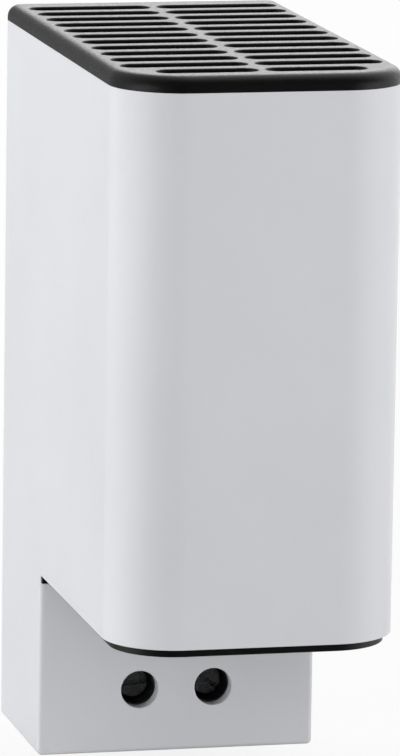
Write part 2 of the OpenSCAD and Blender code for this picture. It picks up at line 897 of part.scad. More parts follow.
module live_screw() {
    terminal_screw(-1, live_turn);
}

module neutral_screw() {
    terminal_screw(1, neutral_turn);
}

// Sliding foot: flange under the guides, stem between them, nose on the rail, eye for a screwdriver
module rail_latch() {
    flange_y = y_back - guide_t - latch_gap - latch_t;
    latch_bottom = z_bottom - eye_h;
    latch_h = -rail_edge - latch_bottom;
    color([0.12, 0.12, 0.125])
        difference() {
            union() {
                translate([-latch_w / 2, flange_y, latch_bottom])
                    cube([latch_w, latch_t, latch_h]);
                translate([-stem_w / 2, flange_y, latch_bottom])
                    cube([stem_w, y_back - flange_y, latch_h]);
                translate([-stem_w / 2, 0, -rail_edge])
                    rotate([90, 0, 90])
                        linear_extrude(stem_w)
                            mirror([0, 1])
                                lip_profile(flange_y);
            }
            translate([-window_w / 2, flange_y - cut, window_z0])
                cube([window_w, channel_d + 2 * cut, window_h]);
            translate([-eye_w / 2, flange_y - cut, latch_bottom + (eye_h - eye_slot) / 2])
                cube([eye_w, channel_d + 2 * cut, eye_slot]);
        }
}

// Coil spring between the housing's peg and the top of the latch's window
module latch_spring() {
    z0 = peg_z + peg_h + spring_gap + spring_wire / 2;
    z1 = window_z1 - spring_gap - spring_wire / 2;
    coil_r = (spring_d - spring_wire) / 2;
    steps = spring_turns * spring_rings;
    color([0.7, 0.71, 0.73])
        translate([0, spring_y, 0])
            tube([for (i = [0 : steps])
                [coil_r * cos(360 * i / spring_rings), coil_r * sin(360 * i / spring_rings), z0 + (z1 - z0) * i / steps]
            ], spring_wire / 2, spring_sides);
}

housing();
base_cover();
top_grille();
bottom_grille();
heat_sink();
ptc_stones();
live_electrode();
neutral_electrode();
film_sleeve();
live_lead();
neutral_lead();
terminal_block();
live_bar();
neutral_bar();
live_cage();
neutral_cage();
live_screw();
neutral_screw();
rail_latch();
latch_spring();
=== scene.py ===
import math

import bmesh
import bpy
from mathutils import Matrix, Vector


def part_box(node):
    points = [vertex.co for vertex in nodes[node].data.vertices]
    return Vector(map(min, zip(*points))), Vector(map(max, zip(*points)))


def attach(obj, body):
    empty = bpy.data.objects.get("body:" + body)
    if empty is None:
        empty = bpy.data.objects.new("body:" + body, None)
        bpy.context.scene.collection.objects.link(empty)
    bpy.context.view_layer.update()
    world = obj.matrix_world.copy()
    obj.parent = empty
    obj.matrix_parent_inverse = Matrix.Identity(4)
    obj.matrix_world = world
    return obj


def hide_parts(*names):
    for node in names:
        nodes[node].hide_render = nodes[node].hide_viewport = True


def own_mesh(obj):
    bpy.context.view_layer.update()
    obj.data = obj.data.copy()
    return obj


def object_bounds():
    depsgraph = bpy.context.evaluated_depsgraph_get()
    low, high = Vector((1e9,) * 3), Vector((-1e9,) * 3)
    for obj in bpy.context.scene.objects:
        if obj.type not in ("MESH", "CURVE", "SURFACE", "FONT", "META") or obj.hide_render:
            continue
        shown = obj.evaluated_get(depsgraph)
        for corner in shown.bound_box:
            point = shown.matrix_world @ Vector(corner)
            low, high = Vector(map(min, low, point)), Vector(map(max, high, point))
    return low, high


# Frame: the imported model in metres, +X right, +Y back into the rail, +Z up, from the middle of
# the rail seat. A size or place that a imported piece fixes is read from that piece's box.
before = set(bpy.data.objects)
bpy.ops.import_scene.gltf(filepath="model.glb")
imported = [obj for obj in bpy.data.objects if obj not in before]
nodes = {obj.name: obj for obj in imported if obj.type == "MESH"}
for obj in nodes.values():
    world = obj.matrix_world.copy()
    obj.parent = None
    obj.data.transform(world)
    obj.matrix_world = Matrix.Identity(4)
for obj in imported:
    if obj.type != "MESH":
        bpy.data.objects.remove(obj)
cad_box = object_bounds()


# Heat sink: a finned aluminium extrusion, sawn to length, that stands on ledges inside the housing
# and gives the element's heat to the rising air. The die leaves faint lines along its length.
def add_node(tree, kind, inputs=None, **attributes):
    """Shader node; an input that is given a socket is linked to it, and any other value is set."""
    made = tree.nodes.new(kind)
    for name, value in attributes.items():
        setattr(made, name, value)
    for name, value in (inputs or {}).items():
        if isinstance(value, bpy.types.NodeSocket):
            tree.links.new(value, made.inputs[name])
        else:
            made.inputs[name].default_value = value
    return made


def surface_grain():
    """Group with two noises on Object coordinates: a fine Grain, and a Patch that drifts slowly."""
    group = bpy.data.node_groups.new("surface_grain", "ShaderNodeTree")
    for name, kind in (("Stretch", "Vector"), ("Grain Scale", "Float"), ("Patch Scale", "Float")):
        group.interface.new_socket(name, in_out="INPUT", socket_type="NodeSocket" + kind)
    for name in ("Grain", "Patch"):
        group.interface.new_socket(name, in_out="OUTPUT", socket_type="NodeSocketFloat")
    given = add_node(group, "NodeGroupInput").outputs
    place = add_node(group, "ShaderNodeTexCoord").outputs["Object"]
    drawn = add_node(group, "ShaderNodeMapping", {"Vector": place, "Scale": given["Stretch"]}).outputs[0]
    grain = add_node(group, "ShaderNodeTexNoise",
                     {"Vector": drawn, "Scale": given["Grain Scale"], "Detail": 3.0, "Roughness": 0.6})
    patch = add_node(group, "ShaderNodeTexNoise",
                     {"Vector": drawn, "Scale": given["Patch Scale"], "Detail": 2.0, "Roughness": 0.5})
    add_node(group, "NodeGroupOutput", {"Grain": grain.outputs[0], "Patch": patch.outputs[0]})
    return group


grain_group = surface_grain()


noise_span = (0.3, 0.7)


def finish(name, tones, rough, grain, patch, relief, stretch=(1, 1, 1), **plain):
    """Material whose tone drifts from patch to patch, with gloss and relief from the grain.

    grain and patch are the sizes of their spots, relief is the grain's height.
    """
    material = bpy.data.materials.new(name)
    material.use_nodes = True
    tree = material.node_tree
    shader = tree.nodes["Principled BSDF"]
    surface = add_node(tree, "ShaderNodeGroup", node_tree=grain_group)
    surface.inputs["Stretch"].default_value = stretch
    surface.inputs["Grain Scale"].default_value = 1 / grain
    surface.inputs["Patch Scale"].default_value = 1 / patch
    tone = add_node(tree, "ShaderNodeValToRGB", {"Fac": surface.outputs["Patch"]})
    for stop, place, colour in zip(tone.color_ramp.elements, noise_span, tones):
        stop.position = place
        stop.color = (*colour, 1)
    gloss = add_node(tree, "ShaderNodeMapRange", {
        "Value": surface.outputs["Grain"], "From Min": noise_span[0], "From Max": noise_span[1],
        "To Min": rough[0], "To Max": rough[1]})
    bump = add_node(tree, "ShaderNodeBump", {
        "Height": surface.outputs["Grain"], "Strength": 1.0, "Distance": relief})
    tree.links.new(tone.outputs["Color"], shader.inputs["Base Color"])
    tree.links.new(gloss.outputs["Result"], shader.inputs["Roughness"])
    tree.links.new(bump.outputs["Normal"], shader.inputs["Normal"])
    for socket, value in plain.items():
        shader.inputs[socket.replace("_", " ")].default_value = value
    return material


def dress(material, *names):
    """Give CAD pieces whose shape is right their finish."""
    for name in names:
        nodes[name].material_slots[0].material = material


die_lines = (1, 1, 0.03)
extruded = finish("extruded_aluminium", ((0.50, 0.51, 0.53), (0.66, 0.67, 0.69)), (0.28, 0.46),
                  grain=0.0004, patch=0.006, relief=0.00003, stretch=die_lines, Metallic=1.0)
dress(extruded, "heat_sink")


# Heating stones: two flat tablets of fired titanate ceramic, dark and matt, with fine pores.
# They lie one above the other in the middle of the heat sink, between the two electrodes.
fired = finish("fired_ceramic", ((0.13, 0.115, 0.10), (0.23, 0.21, 0.19)), (0.6, 0.85),
               grain=0.00025, patch=0.002, relief=0.00002)
dress(fired, "ptc_stones")


# Electrodes: stamped aluminium plates that press on both sides of the stones. A tab on each
# reaches under the heat sink and ends in a crimp barrel for its lead.
rolling_lines = (1, 0.05, 1)
rolled = finish("rolled_aluminium", ((0.60, 0.61, 0.62), (0.72, 0.73, 0.74)), (0.22, 0.40),
                grain=0.0003, patch=0.004, relief=0.00001, stretch=rolling_lines, Metallic=1.0)
dress(rolled, "live_electrode", "neutral_electrode")


# Film sleeve: amber polyimide film, folded to a flat tube round the stones and electrodes, that
# keeps the live plates off the heat sink.
amber = finish("amber_film", ((0.48, 0.20, 0.02), (0.62, 0.30, 0.04)), (0.12, 0.30),
               grain=0.003, patch=0.008, relief=0.00012, IOR=1.6)
dress(amber, "film_sleeve")


# Leads: two silicone-insulated wires, brown for live and blue for neutral. Each hangs from an
# electrode's barrel, swings back over the base and drops into the barrel of its current bar.
def clear_selection():
    """Leave nothing selected, so that the next operator acts on the new piece alone."""
    bpy.ops.object.select_all(action="DESELECT")


def choose(piece):
    """Select a piece alone and make it the active one."""
    clear_selection()
    piece.select_set(True)
    bpy.context.view_layer.objects.active = piece


def settle(piece):
    """Put a piece's place, turn and scale into its mesh."""
    choose(piece)
    bpy.ops.object.transform_apply(location=True, rotation=True, scale=True)


def fit(piece, material, body, node):
    """Finish a piece, let it ride on its body and let it stand for its CAD node."""
    piece.data.materials.clear()
    piece.data.materials.append(material)
    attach(piece, body)
    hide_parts(node)


def middle_of(node):
    """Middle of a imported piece's box."""
    low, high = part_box(node)
    return (low + high) / 2


def lead(name, electrode, bar, side):
    """Wire on one curve between two barrels, with a straight end in each."""
    start = middle_of(electrode)
    start.y += side * tab_offset
    start.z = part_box(electrode)[0].z
    stop = middle_of(bar)
    stop.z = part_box(bar)[1].z
    depth = Vector((0, 0, barrel_depth))
    short = depth / 3
    reach = Vector((0, 0, lead_reach))
    bends = ((start + depth, short, short), (start, short, reach),
             (stop, reach, short), (stop - depth, short, short))
    clear_selection()
    bpy.ops.curve.primitive_bezier_curve_add(location=(0, 0, 0))
    wire = bpy.context.object
    wire.name = name
    wire.data.resolution_u = 20
    wire.data.bevel_depth = lead_r
    wire.data.bevel_resolution = 5
    wire.data.use_fill_caps = True
    spline = wire.data.splines[0]
    spline.bezier_points.add(len(bends) - len(spline.bezier_points))
    for point, (place, above, below) in zip(spline.bezier_points, bends):
        point.handle_left_type = point.handle_right_type = "FREE"
        point.co = place
        point.handle_left = place + above
        point.handle_right = place - below
    bpy.ops.object.convert(target="MESH")
    bpy.ops.object.shade_smooth_by_angle(angle=math.radians(40))
    return wire


lead_r = 0.0011
lead_reach = 0.009
tab_offset = 0.007
barrel_depth = 0.0029
brown = finish("brown_silicone", ((0.10, 0.035, 0.015), (0.15, 0.055, 0.028)), (0.38, 0.55),
               grain=0.0004, patch=0.003, relief=0.00001)
blue = finish("blue_silicone", ((0.015, 0.05, 0.21), (0.028, 0.08, 0.30)), (0.38, 0.55),
              grain=0.0004, patch=0.003, relief=0.00001)
live_wire = lead("live_lead_wire", "live_electrode", "live_bar", -1)
neutral_wire = lead("neutral_lead_wire", "neutral_electrode", "neutral_bar", 1)
fit(live_wire, brown, "casing", "live_lead")
fit(neutral_wire, blue, "casing", "neutral_lead")


# Terminal block: black glass-filled nylon, moulded with a stepped bore for each screw and a pocket
# for each clamp. It sits on the base cover and shows as the dark lining of the driver holes.
filled_nylon = finish("filled_nylon", ((0.008, 0.008, 0.009), (0.016, 0.016, 0.017)), (0.40, 0.62),
                      grain=0.0003, patch=0.004, relief=0.00002)
dress(filled_nylon, "terminal_block")


# Current bars: strips stamped from brass, pushed into the block from above. The wire is clamped
# against the lower end, and the upper end is rolled to a barrel for the lead.
strip_lines = (0.06, 1, 1)
brass = finish("stamped_brass", ((0.52, 0.35, 0.12), (0.68, 0.48, 0.19)), (0.20, 0.38),
               grain=0.0003, patch=0.003, relief=0.00001, stretch=strip_lines, Metallic=1.0)
dress(brass, "live_bar", "neutral_bar")


# Clamp cages: steel strip folded to a box and zinc plated. The screw runs in the threaded front
# end and draws the cage forward, so that the wire is pinched against the current bar.
zinc = finish("zinc_plate", ((0.42, 0.44, 0.47), (0.62, 0.63, 0.65)), (0.25, 0.45),
              grain=0.0005, patch=0.0015, relief=0.00001, Metallic=1.0)
dress(zinc, "live_cage", "neutral_cage")


# Terminal screws: turned steel with a cheese head, a sawn slot and a rolled thread, zinc plated.
# They sit deep in the block's bores behind the driver holes, with their slots as last turned.
def edit(piece):
    """Open a piece alone in edit mode with all of it selected."""
    choose(piece)
    bpy.ops.object.mode_set(mode="EDIT")
    bpy.ops.mesh.select_all(action="SELECT")


def close():
    """Leave edit mode."""
    bpy.ops.object.mode_set(mode="OBJECT")


def pick_faces(piece, wanted):
    """Select the faces whose middle and normal pass a test, of a piece in edit mode."""
    bpy.ops.mesh.select_mode(type="FACE")
    bpy.ops.mesh.select_all(action="DESELECT")
    shape = bmesh.from_edit_mesh(piece.data)
    for face in shape.faces:
        face.select_set(wanted(face.calc_center_median(), face.normal))
    bmesh.update_edit_mesh(piece.data)


def pick_edges(piece, wanted):
    """Select the edges whose middle, direction and bend pass a test, of a piece in edit mode."""
    bpy.ops.mesh.select_mode(type="EDGE")
    bpy.ops.mesh.select_all(action="DESELECT")
    shape = bmesh.from_edit_mesh(piece.data)
    for edge in shape.edges:
        first, last = (corner.co for corner in edge.verts)
        bend = math.degrees(edge.calc_face_angle(0))
        edge.select_set(wanted((first + last) / 2, (last - first).normalized(), bend))
    bmesh.update_edit_mesh(piece.data)


def round_edges(piece, radius, steps, wanted):
    """Bevel the picked edges: many steps round them, one step chamfers them; bends are in degrees."""
    edit(piece)
    pick_edges(piece, wanted)
    bpy.ops.mesh.bevel(offset_type="OFFSET", offset=radius, segments=steps, profile=0.5, affect="EDGES")
    close()


def pull_faces(piece, move, wanted):
    """Extrude the picked faces by a move."""
    edit(piece)
    pick_faces(piece, wanted)
    bpy.ops.mesh.extrude_region_move(TRANSFORM_OT_translate={"value": move})
    close()


def apply_modifier(piece, modifier):
    """Make a modifier's result the piece's own mesh."""
    choose(piece)
    bpy.ops.object.modifier_apply(modifier=modifier.name)


def combine(piece, operation, *others):
    """Join other meshes to a piece, or cut them out of it, and clear them away."""
    for other in others:
        boolean = piece.modifiers.new(operation, "BOOLEAN")
        boolean.operation = operation
        boolean.solver = "EXACT"
        boolean.object = other
        apply_modifier(piece, boolean)
        bpy.data.objects.remove(other)


def block(name, low, high, turn=(0, 0, 0)):
    """Box between two corners, the start of a piece or of a cut."""
    low, high = Vector(low), Vector(high)
    clear_selection()
    bpy.ops.mesh.primitive_cube_add(size=1, location=(low + high) / 2, rotation=turn)
    piece = bpy.context.object
    piece.name = name
    piece.scale = high - low
    settle(piece)
    return piece


def shade(piece, angle=35):
    """Smooth the rounded edges and keep the flat faces flat."""
    choose(piece)
    bpy.ops.object.shade_smooth_by_angle(angle=math.radians(angle))
    even = piece.modifiers.new("even_shading", "WEIGHTED_NORMAL")
    even.keep_sharp = True
    apply_modifier(piece, even)


def thread_ridge(axis, y_start, turns):
    """Ridge of a thread: a triangle wound round the Y axis of the screw."""
    clear_selection()
    bpy.ops.mesh.primitive_circle_add(vertices=3, radius=thread_depth, location=axis,
                                      rotation=(0, 0, -math.pi / 2))
    ridge = bpy.context.object
    bpy.ops.object.transform_apply(location=False, rotation=True, scale=False)
    edit(ridge)
    bpy.ops.transform.translate(value=(shank_r - thread_depth, y_start - axis.y, 0))
    close()
    wind = ridge.modifiers.new("wind", "SCREW")
    wind.axis = "Y"
    wind.screw_offset = thread_pitch
    wind.iterations = turns
    wind.steps = wind.render_steps = 24
    wind.use_merge_vertices = True
    apply_modifier(ridge, wind)
    edit(ridge)
    bpy.ops.mesh.fill_holes(sides=4)
    bpy.ops.mesh.select_all(action="SELECT")
    bpy.ops.mesh.normals_make_consistent(inside=False)
    close()
    settle(ridge)
    return ridge


def terminal_screw(name, node, turn):
    """Screw along Y: head and core from one cylinder, a slot turned by some degrees, a thread ridge."""
    low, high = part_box(node)
    axis = middle_of(node)
    head_back = low.y + head_t
    clear_selection()
    bpy.ops.mesh.primitive_cylinder_add(
        vertices=64, radius=head_r, depth=head_t, rotation=(math.pi / 2, 0, 0),
        location=(axis.x, low.y + head_t / 2, axis.z))
    screw = bpy.context.object
    screw.name = name
    settle(screw)
    edit(screw)
    pick_faces(screw, lambda middle, normal: normal.y > aligned)
    bpy.ops.mesh.inset(thickness=head_r - core_r, depth=0)
    bpy.ops.mesh.extrude_region_move(TRANSFORM_OT_translate={"value": (0, high.y - head_back, 0)})
    close()
    round_edges(screw, tip_chamfer, 1, lambda middle, way, bend: middle.y > high.y - hair)
    round_edges(screw, head_round, 4, lambda middle, way, bend: middle.y < low.y + hair)
    kerf = block("kerf", (axis.x - 2 * head_r, low.y - kerf_h, axis.z - kerf_w / 2),
                 (axis.x + 2 * head_r, low.y + kerf_h, axis.z + kerf_w / 2), (0, math.radians(turn), 0))
    combine(screw, "DIFFERENCE", kerf)
    shade(screw)
    ridge = thread_ridge(axis, head_back + thread_pitch, thread_turns)
    choose(screw)
    ridge.select_set(True)
    bpy.ops.object.join()
    return screw


# Closer than a hair two places are one, and above this cosine a direction is along an axis
hair = 0.00001
aligned = 0.9
head_r = 0.00215
head_t = 0.0016
head_round = 0.0003
kerf_w = 0.0007
kerf_h = 0.0009
shank_r = 0.0015
core_r = 0.00123
tip_chamfer = 0.0004
thread_depth = 0.00027
thread_pitch = 0.0005
thread_turns = 11
live_turn = -5
neutral_turn = 34
ring_pitch = 0.0004
ring_depth = 0.00006
wave_at_scale_one = 0.3
turned_steel = finish("turned_steel", ((0.48, 0.49, 0.50), (0.64, 0.65, 0.66)), (0.25, 0.45),
                      grain=0.00015, patch=0.0012, relief=0.000008, Metallic=1.0)
# The lathe's rings lie round both axes at once, because the screws differ only in the sign of x
steel = turned_steel.node_tree
steel_place = add_node(steel, "ShaderNodeTexCoord").outputs["Object"]
either_screw = add_node(steel, "ShaderNodeVectorMath", {"Vector": steel_place}, operation="ABSOLUTE")
screw_axis = middle_of("neutral_screw")
centred = add_node(steel, "ShaderNodeVectorMath", operation="SUBTRACT")
steel.links.new(either_screw.outputs["Vector"], centred.inputs[0])
centred.inputs[1].default_value = (screw_axis.x, 0, -screw_axis.z)
rings = add_node(steel, "ShaderNodeTexWave", {
    "Vector": centred.outputs["Vector"], "Scale": wave_at_scale_one / ring_pitch, "Distortion": 1.5,
    "Detail": 1.0, "Detail Scale": 400.0}, wave_type="RINGS", rings_direction="Y")
turned = add_node(steel, "ShaderNodeBump", {
    "Height": rings.outputs["Fac"], "Strength": 1.0, "Distance": ring_depth,
    "Normal": steel.nodes["Bump"].outputs["Normal"]})
steel.links.new(turned.outputs["Normal"], steel.nodes["Principled BSDF"].inputs["Normal"])
fit(terminal_screw("live_screw_turned", "live_screw", live_turn), turned_steel,
    "live_screw", "live_screw")
fit(terminal_screw("neutral_screw_turned", "neutral_screw", neutral_turn), turned_steel,
    "neutral_screw", "neutral_screw")


# Housing: one injection moulding in light grey plastic with a fine spark-eroded texture. A tall
# shell with round front corners stands on a set-back base, and the hook, rail seat and latch
# channel are moulded on its back.
def upright(name, low, high, fore_radius, rear_radius):
    """Block with rounded upright edges, one radius at the front and one at the rear."""
    piece = block(name, low, high)
    middle_y = (low[1] + high[1]) / 2
    round_edges(piece, fore_radius, 20, lambda middle, way, bend:
                abs(way.z) > aligned and middle.y < middle_y)
    round_edges(piece, rear_radius, 6, lambda middle, way, bend:
                abs(way.z) > aligned and middle.y > middle_y)
    return piece


def pin(name, radius, start, stop):
    """Round bar along one axis, for a hole or a bead."""
    start, stop = Vector(start), Vector(stop)
    along = stop - start
    clear_selection()
    bpy.ops.mesh.primitive_cylinder_add(
        vertices=48, radius=radius, depth=along.length, location=(start + stop) / 2,
        rotation=along.to_track_quat("Z", "Y").to_euler())
    piece = bpy.context.object
    piece.name = name
    settle(piece)
    return piece


def grow_lip(piece, face_y, rail_side):
    """Pull a lip off the rear end of a hook: back past the rail's flange, then over its edge."""
    low_z, high_z = sorted((rail_side * rail_edge, rail_side * (rail_edge + hook_t)))
    pull_faces(piece, (0, lip_in - face_y, 0), lambda middle, normal:
               normal.y > aligned and low_z < middle.z < high_z and abs(middle.y - face_y) < hair)
    pull_faces(piece, (0, lip_t, 0), lambda middle, normal:
               normal.y > aligned and abs(middle.y - lip_in) < hair)
    pull_faces(piece, (0, 0, -rail_side * lip_h), lambda middle, normal:
               -rail_side * normal.z > aligned and middle.y > lip_in)
    lip_back = lip_in + lip_t
    tip_z = rail_side * (rail_edge - lip_h)
    heel_z = rail_side * (rail_edge + hook_t)
    round_edges(piece, lip_lead, 1, lambda middle, way, bend:
                abs(way.x) > aligned and abs(middle.y - lip_back) < hair and abs(middle.z - tip_z) < hair)
    round_edges(piece, hook_t / 2, 1, lambda middle, way, bend:
                abs(way.x) > aligned and abs(middle.y - lip_back) < hair and abs(middle.z - heel_z) < hair)


def sink_rib(name, reach):
    """Rib that carries the heat sink on a ledge, on a wall at x = 0 with the sink towards -x."""
    rib = block(name, (-reach - ledge, -rib_t / 2, -ledge_h - reach - ledge), (join, rib_t / 2, rib_top))
    edit(rib)
    bpy.ops.mesh.bisect(plane_co=(-reach - ledge, 0, -ledge_h), plane_no=(-1, 0, -1),
                        use_fill=True, clear_outer=True)
    close()
    room = block("rib_room", (-2 * reach - ledge, -rib_t, 0), (-reach + rib_gap, rib_t, 2 * rib_top))
    combine(rib, "DIFFERENCE", room)
    return rib


def place_copy(piece, spot, turn):
    """Copy a piece with its own mesh, turn it about Z and set it on a spot."""
    choose(piece)
    bpy.ops.object.duplicate(linked=False)
    copy = bpy.context.object
    copy.location = spot
    copy.rotation_euler = (0, 0, math.radians(turn))
    settle(copy)
    return copy


housing_low, housing_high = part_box("housing")
cover_low, cover_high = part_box("base_cover")
floor_low, floor_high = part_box("bottom_grille")
sink_low, sink_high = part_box("heat_sink")
wall = 0.002
front_r = 0.009
back_r = 0.002
base_r = 0.0007
cavity_r = 0.0006
flange_h = 0.0011
half_w = housing_high.x
front_y = housing_low.y
back_y = cover_high.y
base_y = cover_low.y
rim_z = housing_high.z
lip_z = floor_low.z + flange_h
cover_z = housing_low.z
over = 0.001

housing = upright("housing_moulding", (-half_w, front_y, lip_z), (half_w, back_y, rim_z),
                  front_r, back_r)
base = upright("base", (-half_w, base_y, cover_z), (half_w, back_y, lip_z + over), base_r, back_r)
combine(housing, "UNION", base)
shell_room = upright("shell_room", (wall - half_w, front_y + wall, lip_z - flange_h),
                     (half_w - wall, back_y - wall, rim_z + over), front_r - wall, cavity_r)
base_room = upright("base_room", (wall - half_w, base_y + wall, cover_z - over),
                    (half_w - wall, back_y - wall, lip_z), cavity_r, cavity_r)
combine(housing, "DIFFERENCE", shell_room, base_room)

latch_low, latch_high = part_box("rail_latch")
latch_gap = 0.00015
guide_t = 0.001
guide_lap = 0.0016
channel_wall = 0.0015
join = 0.0004
channel_x = latch_high.x + latch_gap
channel_y = latch_low.y - latch_gap
mouth_x = channel_x - guide_lap
rail_edge = 0.01765
channel_z = latch_gap - rail_edge
boss = block("boss", (-channel_x - channel_wall, channel_y - channel_wall, cover_z),
             (channel_x + channel_wall, back_y - wall + join, channel_z + channel_wall))
combine(housing, "UNION", boss)

sink_middle = middle_of("heat_sink")
rib_t = 0.0024
rib_gap = 0.0002
ledge = 0.0015
ledge_h = 0.0015
rib_drop = 0.004
rib_top = sink_high.z - sink_low.z - rib_drop
rib_fin = 3
fin_pitch = 0.0055
rib_row = rib_fin * fin_pitch
side_rib = sink_rib("side_rib", half_w - wall - sink_high.x)
end_rib = sink_rib("end_rib", back_y - wall - sink_high.y)
for row in (-rib_row, rib_row):
    spot = Vector((half_w - wall, sink_middle.y + row, sink_low.z))
    combine(housing, "UNION", place_copy(side_rib, spot, 0))
    spot.x = -spot.x
    combine(housing, "UNION", place_copy(side_rib, spot, 180))
combine(housing, "UNION", place_copy(end_rib, (0, back_y - wall, sink_low.z), 90))
combine(housing, "UNION", place_copy(end_rib, (0, front_y + wall, sink_low.z), -90))
bpy.data.objects.remove(side_rib)
bpy.data.objects.remove(end_rib)

hook_w = 0.026
hook_t = 0.0026
lip_h = 0.0015
lip_t = 0.0013
lip_in = housing_high.y - lip_t
lip_lead = 0.0006
rail_round = 0.0002
hook = block("hook", (-hook_w / 2, back_y - join, rail_edge), (hook_w / 2, 0, rail_edge + hook_t))
grow_lip(hook, 0, 1)
round_edges(hook, rail_round, 2, lambda middle, way, bend: middle.y > back_y + join)
seat_w = 0.028
seat_h = 0.030
seat = block("seat", (-seat_w / 2, back_y - join, -seat_h / 2), (seat_w / 2, 0, seat_h / 2))
round_edges(seat, rail_round, 2, lambda middle, way, bend: middle.y > -hair)
combine(housing, "UNION", hook, seat)
channel = block("channel", (-channel_x, channel_y, cover_z - over),
                (channel_x, back_y - guide_t, channel_z))
channel_mouth = block("mouth", (-mouth_x, channel_y, cover_z - over),
                      (mouth_x, back_y + over, channel_z))
combine(housing, "DIFFERENCE", channel, channel_mouth)

spring_low, spring_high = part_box("latch_spring")
spring_d = 0.0022
spring_play = 0.00003
peg_h = 0.002
peg_z = spring_low.z - spring_play
peg = block("peg", (-spring_d / 2, channel_y - join, peg_z - peg_h),
            (spring_d / 2, back_y - latch_gap, peg_z))
combine(housing, "UNION", peg)

driver_r = 0.00255
driver_edge = 0.0002
sharp_bend = 40
screws = ("live_screw", "neutral_screw")
through = Vector((0, wall + over, 0))
for screw in screws:
    hole_mouth = middle_of(screw)
    hole_mouth.y = base_y
    combine(housing, "DIFFERENCE",
            pin("driver_hole", driver_r, hole_mouth - through, hole_mouth + through))
    round_edges(housing, driver_edge, 3, lambda middle, way, bend:
                bend > sharp_bend and abs((middle - hole_mouth).length - driver_r) < driver_edge / 2)
shade(housing)
casing_grey = finish("casing_grey", ((0.612, 0.618, 0.642), (0.642, 0.648, 0.672)), (0.28, 0.40),
                     grain=0.00035, patch=0.03, relief=0.00002)
fit(housing, casing_grey, "casing", "housing")


# Base cover: the floor of the base in the same grey plastic, plugged in from below. It has the two
# wire entries and a notch for the latch, and its edge leaves a fine seam round the base.
cover_round = 0.00063
fit_gap = 0.00015
entry_r = 0.0018
cover = upright("base_cover_moulding", cover_low, (half_w, back_y, cover_z), base_r, back_r)
round_edges(cover, cover_round, 5, lambda middle, way, bend: middle.z < cover_low.z + hair)
cover_inset = wall + fit_gap
cover_plug = upright("plug", (cover_inset - half_w, base_y + cover_inset, cover_z - over / 2),
                     (half_w - cover_inset, back_y - cover_inset, cover_high.z), cavity_r, cavity_r)
combine(cover, "UNION", cover_plug)
latch_notch = block("latch_notch", (-channel_x, channel_y, cover_low.z - over),
                    (channel_x, back_y + over, cover_high.z + over))
boss_x = channel_x + channel_wall + fit_gap
boss_notch = block("boss_notch", (-boss_x, channel_y - channel_wall - fit_gap, cover_z),
                   (boss_x, back_y + over, cover_high.z + over))
combine(cover, "DIFFERENCE", latch_notch, boss_notch)
wire_y = -0.0113
for screw in screws:
    wire_x = middle_of(screw).x
    hole = pin("wire_entry", entry_r, (wire_x, wire_y, cover_low.z - over),
               (wire_x, wire_y, cover_high.z + over))
    combine(cover, "DIFFERENCE", hole)
shade(cover)
fit(cover, casing_grey, "casing", "base_cover")


# Bottom grille: the slotted floor of the shell, moulded in black plastic and snapped in from below.
# Only its flange shows, as a dark line under the shell's lower edge.
def slot_row(name, y, outer_x, low_z, high_z):
    """Cutters for one row: two round-ended slots, one on each side of the middle web."""
    right = block(name, (slot_web / 2, y - slot_w / 2, low_z), (outer_x, y + slot_w / 2, high_z))
    round_edges(right, slot_w * end_round, 10, lambda middle, way, bend: abs(way.z) > aligned)
    left = place_copy(right, (0, 2 * y, 0), 180)
    return right, left


def cut_slots(piece, rows, low_z, high_z):
    """Cut all the slots of a grille at once, with a shorter front row between the round corners."""
    cutters = []
    for row in range(rows):
        margin = corner_margin if row == 0 else slot_margin
        row_y = front_y + slot_first + row * slot_pitch
        cutters += slot_row("slot", row_y, half_w - margin, low_z, high_z)
        edit(piece)
        bpy.ops.mesh.bisect(plane_co=(0, row_y + slot_pitch / 2, 0), plane_no=(0, 1, 0))
        close()
    edit(piece)
    bpy.ops.mesh.bisect(plane_co=(0, 0, 0), plane_no=(1, 0, 0))
    close()
    choose(cutters[0])
    for cutter in cutters:
        cutter.select_set(True)
    bpy.ops.object.join()
    combine(piece, "DIFFERENCE", cutters[0])


# Just under half the width, so that the bevels at a slot's end don't meet
end_round = 0.4999
slot_w = 0.0033
slot_pitch = 0.00554
slot_first = 0.0054
slot_web = 0.00114
slot_margin = 0.002
corner_margin = 0.0054
floor_rows = 7
floor_t = 0.0012
flange_inset = 0.001
ear_d = 0.0008
skirt_t = 0.0013
floor_grille = upright("bottom_grille_moulding", (flange_inset - half_w, floor_low.y, floor_low.z),
                       (half_w - flange_inset, base_y - fit_gap, lip_z), front_r - flange_inset, cavity_r)
ear = block("ear", (fit_gap - half_w, base_y - fit_gap - ear_d, floor_low.z),
            (half_w - fit_gap, base_y - fit_gap, lip_z))
plug_x = half_w - wall - fit_gap
plug_y = front_y + wall + fit_gap
plug_r = front_r - wall - fit_gap
floor_plug = upright("plug", (-plug_x, plug_y, floor_low.z), (plug_x, floor_high.y, lip_z + floor_t),
                     plug_r, cavity_r)
combine(floor_grille, "UNION", ear, floor_plug)
skirt_past_middle = 0.014
floor_skirt_end = plug_y + (base_y - front_y) / 2 + skirt_past_middle
floor_skirt = upright("skirt", (-plug_x, plug_y, lip_z), (plug_x, floor_skirt_end, floor_high.z),
                      plug_r, cavity_r)
floor_skirt_room = upright("skirt_room", (skirt_t - plug_x, plug_y + skirt_t, lip_z - over),
                           (plug_x - skirt_t, floor_skirt_end + over, floor_high.z + over),
                           plug_r - skirt_t, cavity_r)
combine(floor_skirt, "DIFFERENCE", floor_skirt_room)
combine(floor_grille, "UNION", floor_skirt)
cut_slots(floor_grille, floor_rows, floor_low.z - over, lip_z + floor_t + over)
shade(floor_grille)
grille_black = finish("grille_black", ((0.0035, 0.0035, 0.0038), (0.006, 0.006, 0.0065)), (0.30, 0.45),
                      grain=0.0003, patch=0.01, relief=0.00003)
